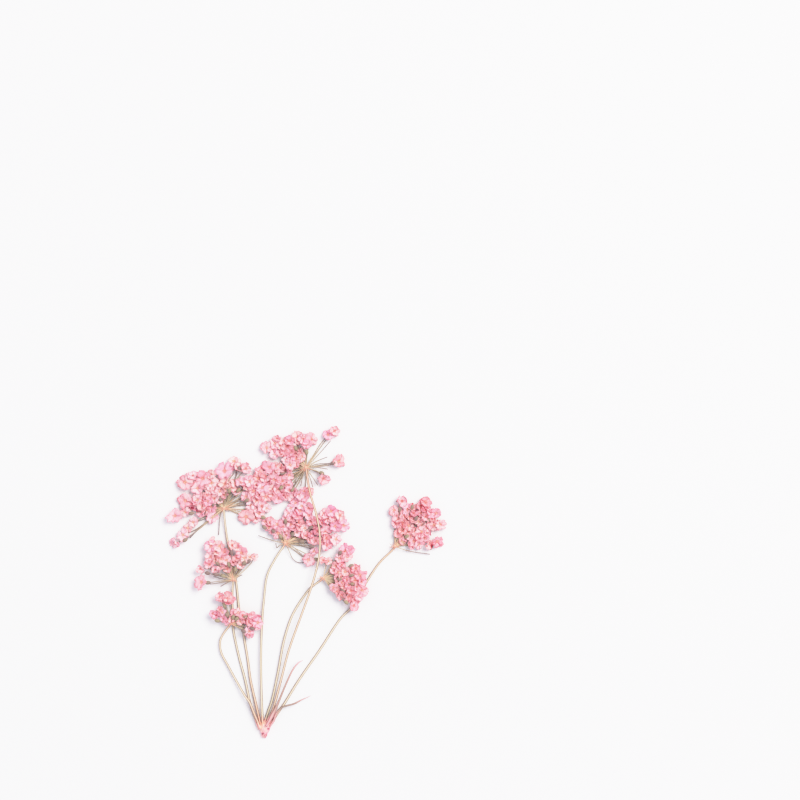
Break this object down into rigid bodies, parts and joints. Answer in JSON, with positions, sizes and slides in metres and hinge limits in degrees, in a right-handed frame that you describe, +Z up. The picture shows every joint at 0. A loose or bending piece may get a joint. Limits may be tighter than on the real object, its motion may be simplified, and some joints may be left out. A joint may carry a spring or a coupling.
{
  "type": "queen annes lace flower",
  "caption": "Dried and dyed lace flower head pressed flat: thin curved rays fan from a cut stalk end to small umbels of tiny notched florets, with narrow bracts at the base.",
  "frame": {"origin": "under the middle of the cut stalk end, on the surface that the flower lies on", "axes": "+Y from the cut end along the rays, +Z up from the surface to the viewer, +X to the viewer's right"},
  "size_m": [0.076, 0.0848, 0.0034],
  "materials": {
    "dyed_petal": "matte",
    "dried_ray": "matte",
    "dyed_stub": "matte",
    "dried_bract": "matte"
  },
  "bodies": {
    "root": {"peduncle_stub": "dyed_stub", "ray_1": "dried_ray", "ray_2": "dried_ray", "ray_3": "dried_ray", "ray_4": "dried_ray", "ray_5": "dried_ray", "ray_6": "dried_ray", "ray_7": "dried_ray", "bract_1": "dried_bract", "bract_2": "dried_bract", "umbellet_1": "dyed_petal", "umbellet_2": "dyed_petal", "umbellet_3": "dyed_petal", "umbellet_4": "dyed_petal", "umbellet_5": "dyed_petal", "umbellet_6": "dyed_petal", "umbellet_7": "dyed_petal"}
  },
  "joints": []
}
